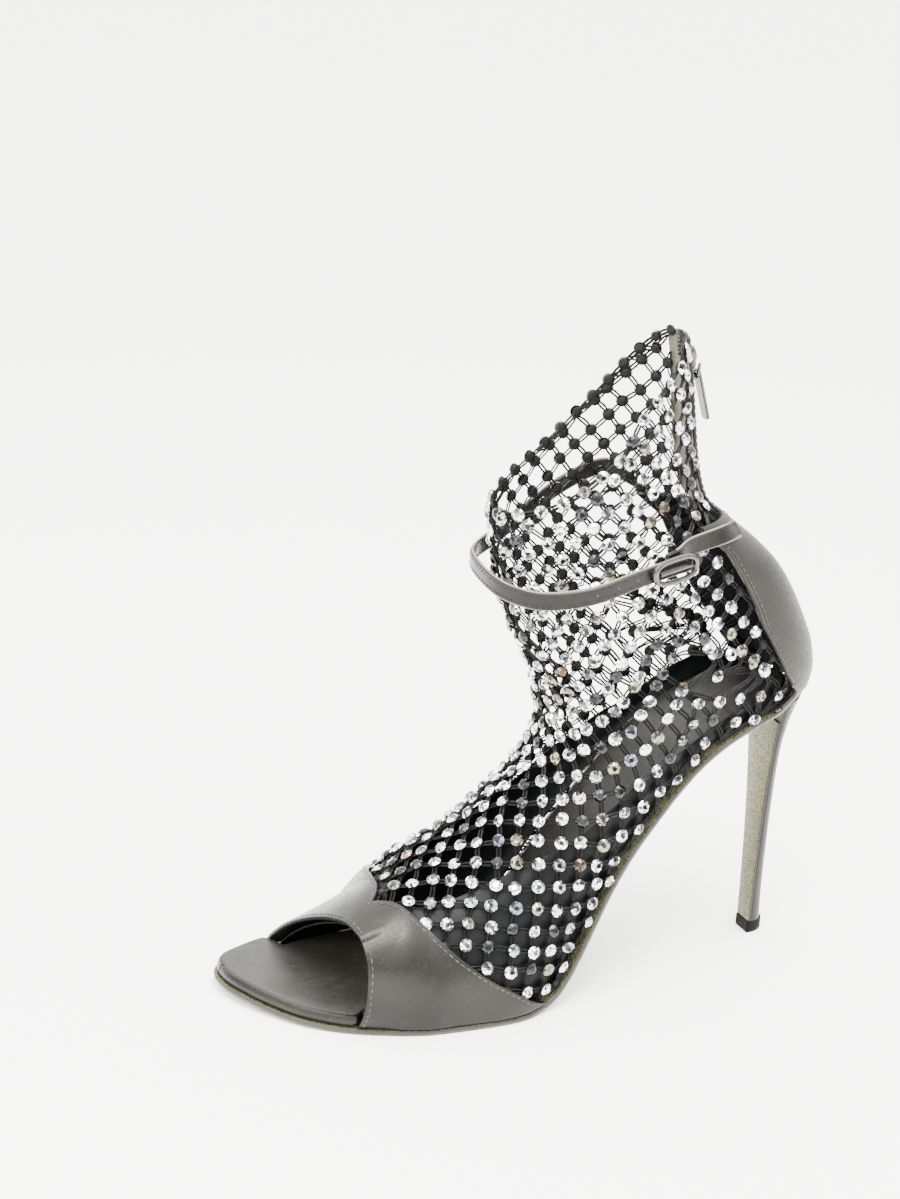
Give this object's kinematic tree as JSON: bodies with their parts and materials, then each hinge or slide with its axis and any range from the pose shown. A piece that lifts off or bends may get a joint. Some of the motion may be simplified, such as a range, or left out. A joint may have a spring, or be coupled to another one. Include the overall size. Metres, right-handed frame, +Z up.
{
  "type": "peep-toe stiletto ankle sandal",
  "caption": "Left peep-toe stiletto with a grey leather toe band, a slack ankle shaft of knotted crystal net, a thin buckled ankle strap and a back zip.",
  "frame": {"origin": "centre of the heel tip's face, on the ground", "axes": "+X from the heel to the toe, +Y to the wearer's left, which is the outer side of this left shoe, +Z up"},
  "size_m": [0.2213, 0.0865, 0.2408],
  "materials": {
    "outsole_glitter": "fine glitter coat",
    "platform_leather": "satin metallic",
    "sock_leather": "matt, lightly worn",
    "net_thread": "knotted cord net with faceted crystals",
    "lining_cloth": "fine, slightly shiny",
    "vamp_leather": "satin metallic, fine grain",
    "counter_leather": "satin metallic",
    "heel_leather": "satin metallic",
    "breast_glitter": "fine glitter coat",
    "top_lift_rubber": "matt",
    "strap_leather": "satin metallic, stitched",
    "zip_leather": "satin metallic, stitched",
    "silver_metal": "polished"
  },
  "bodies": {
    "shoe": {"outsole": "outsole_glitter", "platform": "platform_leather", "sock": "sock_leather", "net_upper": "net_thread", "lining": "lining_cloth", "vamp": "vamp_leather", "heel_counter": "counter_leather", "heel_stem": "heel_leather", "heel_breast": "breast_glitter", "top_lift": "top_lift_rubber", "ankle_strap": "strap_leather", "buckle_tab": "strap_leather", "zip_strip_outer": "zip_leather", "zip_strip_inner": "zip_leather", "zip_chain": "silver_metal", "zip_slider": "silver_metal", "zip_bail": "silver_metal", "buckle_frame": "silver_metal", "buckle_prong": "silver_metal"},
    "zip_pull": {"zip_pull": "silver_metal"}
  },
  "joints": [
    {"name": "zip_pull_swing", "type": "hinge", "parent": "shoe", "child": "zip_pull", "pos_m": [0.04675, 0, 0.22372], "axis": [0, 1, 0], "range_deg": [-6, 100]}
  ]
}
